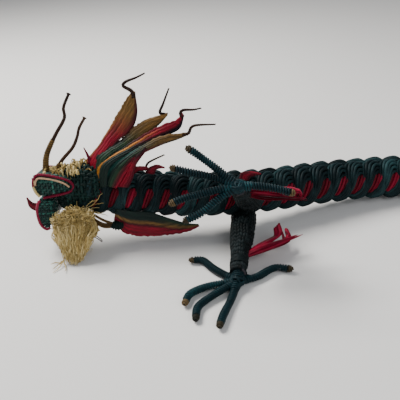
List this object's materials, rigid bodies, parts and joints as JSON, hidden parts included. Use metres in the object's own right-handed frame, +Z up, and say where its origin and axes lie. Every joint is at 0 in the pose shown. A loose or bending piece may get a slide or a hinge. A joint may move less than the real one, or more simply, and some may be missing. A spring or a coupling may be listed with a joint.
{
  "type": "woven cord dragon figure",
  "caption": "Hand-knotted cord dragon lying on its belly, with a flexible neck, tail, jaw and wire-fingered limbs, a painted leather crest and raffia trim.",
  "frame": {"origin": "on the flat of the belly where the body rests, below the middle of its sideways curve", "axes": "+Z up, +X from the head towards the tail, -Y towards the dragon's left side"},
  "size_m": [0.6934, 0.2581, 0.1303],
  "materials": {
    "green_knotted_cord": "dyed raffia cord, satin",
    "red_core_cord": "dyed crimson cord",
    "green_woven_cover": "tight weave of dyed raffia",
    "red_piping": "dyed cord",
    "cream_cord": "undyed cord",
    "horn_binding": "gold-brown tape over wire",
    "straw_raffia": "loose undyed raffia",
    "red_raffia": "loose dyed raffia",
    "red_leather": "painted leather",
    "painted_leather": "painted leather in red, green and gold",
    "dark_wire": "thread-bound wire",
    "steel_wire": "plain wire",
    "green_knitted_sleeve": "knitted dyed cord",
    "wrapped_thread": "thread wound over wire",
    "thread_binding": "whipped thread"
  },
  "bodies": {
    "trunk": {"trunk_sinnet": "green_knotted_cord", "trunk_core": "red_core_cord", "trunk_dorsal_fin": "red_leather"},
    "head": {"neck_sinnet": "green_knotted_cord", "neck_core": "red_core_cord", "skull": "green_woven_cover", "upper_jaw": "green_woven_cover", "upper_lip_piping": "red_piping", "upper_lip_cord": "cream_cord", "left_horn": "horn_binding", "right_horn": "horn_binding", "forelock": "straw_raffia", "head_spike": "red_leather", "beard": "straw_raffia", "crest_blade_1": "painted_leather", "crest_blade_2": "painted_leather", "crest_blade_3": "painted_leather", "crest_blade_4": "painted_leather", "crest_fold": "painted_leather", "crest_tendrils": "dark_wire", "throat_fin": "painted_leather", "neck_dorsal_fin": "red_leather"},
    "lower_jaw": {"lower_jaw_pad": "green_woven_cover", "jaw_piping": "red_piping", "tongue": "red_leather"},
    "tail": {"tail_sinnet": "green_knotted_cord", "tail_core": "red_core_cord", "tail_binding": "thread_binding", "tail_blade_1": "painted_leather", "tail_blade_2": "painted_leather", "tail_blade_3": "painted_leather", "tail_tendrils": "dark_wire"},
    "left_arm": {"left_arm_sleeve": "green_knitted_sleeve", "left_arm_wire": "steel_wire", "left_arm_binding": "thread_binding", "left_arm_tuft": "red_raffia"},
    "left_hand": {"left_hand_palm": "green_knitted_sleeve", "left_hand_fingers": "wrapped_thread", "left_hand_finger_wires": "steel_wire"},
    "right_arm": {"right_arm_sleeve": "green_knitted_sleeve", "right_arm_wire": "steel_wire", "right_arm_binding": "thread_binding", "right_arm_tuft": "red_raffia"},
    "right_hand": {"right_hand_palm": "green_knitted_sleeve", "right_hand_fingers": "wrapped_thread", "right_hand_finger_wires": "steel_wire"},
    "left_leg": {"left_leg_sleeve": "green_knitted_sleeve", "left_leg_wire": "steel_wire", "left_leg_binding": "thread_binding", "left_leg_tuft": "red_raffia"},
    "left_foot": {"left_foot_palm": "green_knitted_sleeve", "left_foot_fingers": "wrapped_thread", "left_foot_finger_wires": "steel_wire"},
    "right_leg": {"right_leg_sleeve": "green_knitted_sleeve", "right_leg_wire": "steel_wire", "right_leg_binding": "thread_binding", "right_leg_tuft": "red_raffia"},
    "right_foot": {"right_foot_palm": "green_knitted_sleeve", "right_foot_fingers": "wrapped_thread", "right_foot_finger_wires": "steel_wire"}
  },
  "joints": [
    {"name": "neck_bend", "type": "hinge", "parent": "trunk", "child": "head", "pos_m": [-0.203, -0.042, 0.03526], "axis": [0, 0, 1], "range_deg": [-15, 15]},
    {"name": "jaw_hinge", "type": "hinge", "parent": "head", "child": "lower_jaw", "pos_m": [-0.297, -0.04366, 0.04018], "axis": [0, -0.9781, 0.2079], "range_deg": [-10, 0]},
    {"name": "tail_bend", "type": "hinge", "parent": "trunk", "child": "tail", "pos_m": [0.152, -0.03665, 0.01646], "axis": [0, 0, 1], "range_deg": [-20, 20]},
    {"name": "left_shoulder", "type": "hinge", "parent": "trunk", "child": "left_arm", "pos_m": [-0.144, -0.05119, 0.03306], "axis": [0, 0.6236, 0.7818], "range_deg": [-15, 15]},
    {"name": "left_wrist", "type": "hinge", "parent": "left_arm", "child": "left_hand", "pos_m": [-0.15581, -0.09237, 0.06592], "axis": [0, 0.6236, 0.7818], "range_deg": [-12, 12]},
    {"name": "right_shoulder", "type": "hinge", "parent": "trunk", "child": "right_arm", "pos_m": [-0.148, -0.04214, 0.0145], "axis": [0, 0, 1], "range_deg": [-15, 15]},
    {"name": "right_wrist", "type": "hinge", "parent": "right_arm", "child": "right_hand", "pos_m": [-0.15838, -0.10517, 0.00905], "axis": [0, 0, 1], "range_deg": [-12, 12]},
    {"name": "left_hip", "type": "hinge", "parent": "trunk", "child": "left_leg", "pos_m": [0.09683, -0.03753, 0.01854], "axis": [0, 0, 1], "range_deg": [-15, 15]},
    {"name": "left_ankle", "type": "hinge", "parent": "left_leg", "child": "left_foot", "pos_m": [0.09007, -0.06852, 0.01062], "axis": [0, 0, 1], "range_deg": [-12, 12]},
    {"name": "right_hip", "type": "hinge", "parent": "trunk", "child": "right_leg", "pos_m": [0.10692, -0.00721, 0.0121], "axis": [0, 0, 1], "range_deg": [-15, 15]},
    {"name": "right_ankle", "type": "hinge", "parent": "right_leg", "child": "right_foot", "pos_m": [0.1011, 0.04508, 0.00882], "axis": [0, 0, 1], "range_deg": [-12, 12]}
  ]
}
